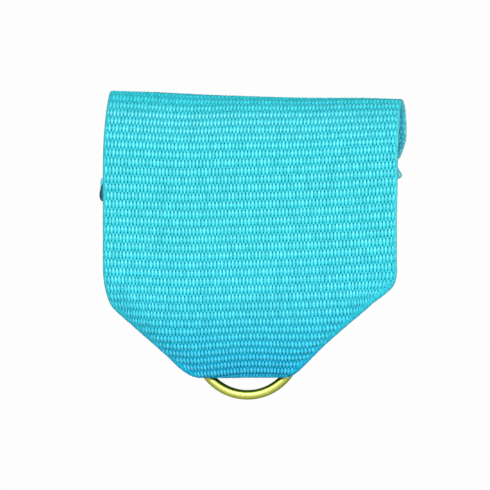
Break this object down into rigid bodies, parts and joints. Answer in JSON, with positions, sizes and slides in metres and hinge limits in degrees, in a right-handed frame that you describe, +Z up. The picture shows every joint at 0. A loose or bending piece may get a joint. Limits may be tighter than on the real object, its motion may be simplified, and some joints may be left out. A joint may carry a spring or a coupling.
{
  "type": "ribbon drape",
  "caption": "Short woven ribbon drape with an open top loop, a V-folded lower end and a sliding wire suspension ring.",
  "frame": {"origin": "centre of the open channel inside the top loop, halfway along the ribbon's width", "axes": "+X along the loop's channel to the right as seen from the front, front panel faces -Y, +Z up with the ring hanging below"},
  "size_m": [0.036, 0.0084, 0.0368],
  "materials": {
    "ribbon": "turquoise ribbed ribbon, slight sheen along the warp",
    "melted_edge": "yarn fused by heat, dark teal, glossy",
    "thread": "matching sewing thread",
    "brass": "polished yellow wire"
  },
  "bodies": {
    "ribbon": {"front_panel": "ribbon", "top_loop": "ribbon", "upper_back_ply": "ribbon", "loop_foot": "ribbon", "left_corner_flap": "ribbon", "right_corner_flap": "ribbon", "bottom_fold": "ribbon", "rear_tail": "ribbon", "upper_cut_end": "melted_edge", "tail_cut_end": "melted_edge", "stitch_bar": "thread"},
    "ring": {"suspension_ring": "brass"}
  },
  "joints": [
    {"name": "ring_drop", "type": "slide", "parent": "ribbon", "child": "ring", "axis": [0, 0, -1], "range_m": [0, 0.0062]}
  ]
}
